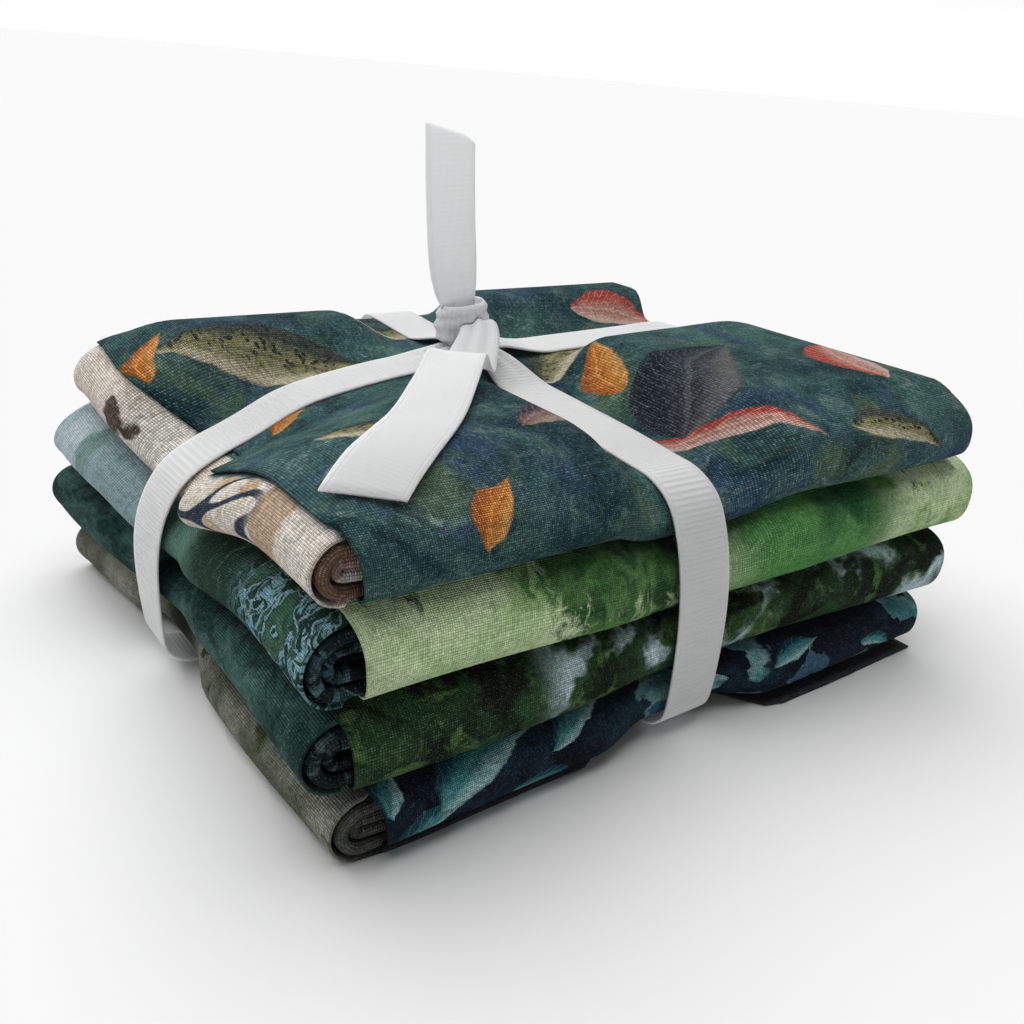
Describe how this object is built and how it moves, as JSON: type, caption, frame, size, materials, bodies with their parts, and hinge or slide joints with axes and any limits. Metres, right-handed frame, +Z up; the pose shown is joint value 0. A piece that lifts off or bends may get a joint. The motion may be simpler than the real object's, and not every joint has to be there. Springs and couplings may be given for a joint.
{
  "type": "fat quarter bundle",
  "caption": "Stack of folded printed quilting cottons, each rolled at one end and wrapped smooth at the front, tied both ways with a knotted grosgrain ribbon.",
  "frame": {"origin": "centre of the footprint, on the surface the bundle rests on", "axes": "+X along the long side of the stack, with the rolled folds at -X; +Y towards the back, with the smooth wrapped faces at -Y; +Z up"},
  "size_m": [0.171, 0.1392, 0.1098],
  "materials": {
    "cotton_teal": "matte plain-weave cotton, painterly teal print",
    "cotton_sage": "matte plain-weave cotton, sage green print",
    "cotton_forest": "matte plain-weave cotton, dark green print",
    "cotton_navy": "matte plain-weave cotton, navy and teal print",
    "ribbon_white": "white grosgrain, soft sheen"
  },
  "bodies": {
    "root": {"cloth_top": "cotton_teal", "cloth_second": "cotton_sage", "cloth_third": "cotton_forest", "cloth_bottom": "cotton_navy", "ribbon": "ribbon_white"}
  },
  "joints": []
}
